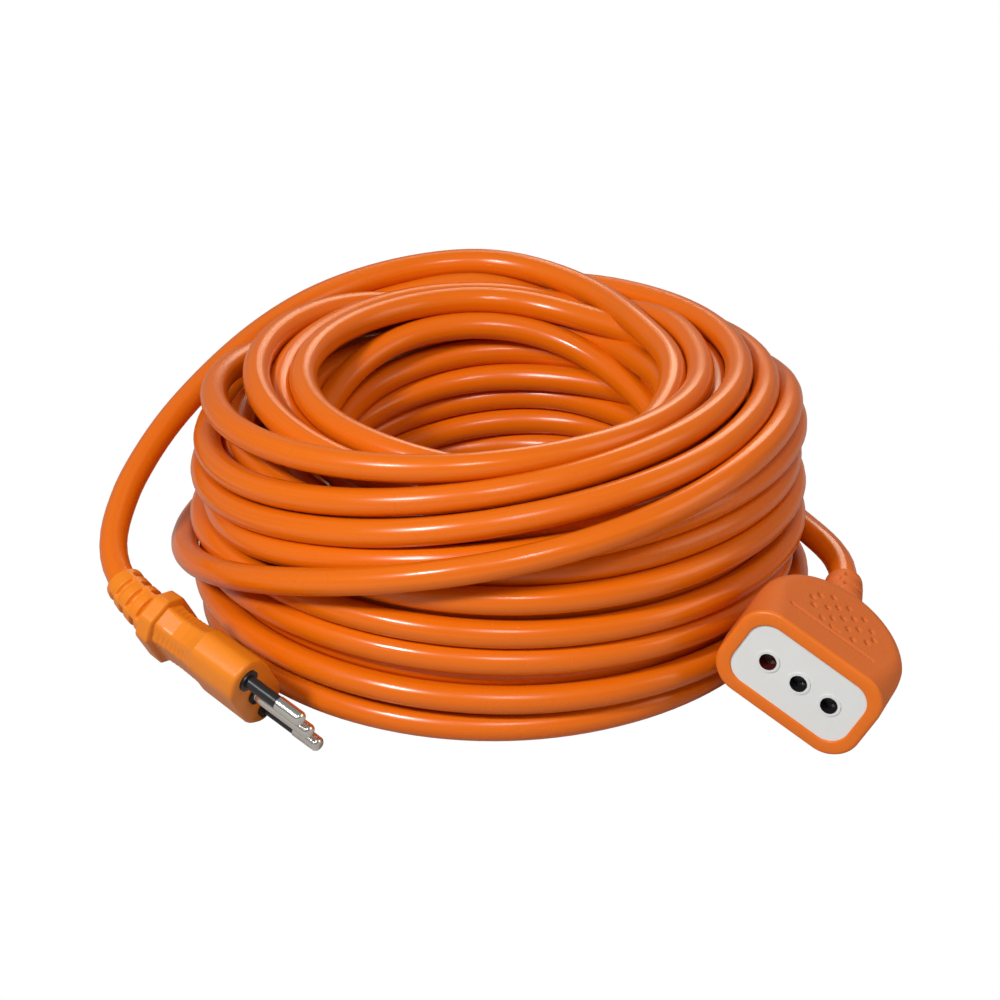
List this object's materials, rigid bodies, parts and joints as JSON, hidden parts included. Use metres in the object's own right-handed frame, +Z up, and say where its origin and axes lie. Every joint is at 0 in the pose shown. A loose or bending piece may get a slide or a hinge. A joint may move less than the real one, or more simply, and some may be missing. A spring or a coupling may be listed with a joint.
{
  "type": "extension cord",
  "caption": "Orange extension cord wound into a round coil, with a moulded three-pin in-line plug and a moulded three-hole trailing socket lying in front of it.",
  "frame": {"origin": "centre of the coil on the surface that it lies on", "axes": "+Z up out of that surface, -Y towards the side where the socket and the plug lie, +X from the plug towards the socket"},
  "size_m": [0.2099, 0.1748, 0.0805],
  "materials": {
    "cord_sheath": "matte, slightly grained",
    "orange_pvc": "satin",
    "orange_relief": "matte",
    "black_plastic": "satin",
    "white_plastic": "satin",
    "nickel_pins": "satin nickel",
    "brass_contacts": "bare",
    "copper_wire": "stranded, bare",
    "core_brown": "smooth",
    "core_blue": "smooth",
    "core_green_yellow": "smooth"
  },
  "bodies": {
    "root": {"cord_coil": "cord_sheath", "cord_plug_lead": "cord_sheath", "cord_socket_lead": "cord_sheath", "plug_body": "orange_pvc", "plug_strain_relief": "orange_relief", "plug_pin_carrier": "black_plastic", "plug_pin_line": "nickel_pins", "plug_pin_earth": "nickel_pins", "plug_pin_neutral": "nickel_pins", "plug_sleeve_line": "black_plastic", "plug_sleeve_neutral": "black_plastic", "plug_core_brown": "core_brown", "plug_core_green_yellow": "core_green_yellow", "plug_core_blue": "core_blue", "plug_wire_brown": "copper_wire", "plug_wire_green_yellow": "copper_wire", "plug_wire_blue": "copper_wire", "socket_body": "orange_pvc", "socket_strain_relief": "orange_relief", "socket_face": "white_plastic", "socket_contact_carrier": "black_plastic", "socket_contact_line": "brass_contacts", "socket_contact_earth": "brass_contacts", "socket_contact_neutral": "brass_contacts", "socket_core_brown": "core_brown", "socket_core_green_yellow": "core_green_yellow", "socket_core_blue": "core_blue", "socket_wire_brown": "copper_wire", "socket_wire_green_yellow": "copper_wire", "socket_wire_blue": "copper_wire"}
  },
  "joints": []
}
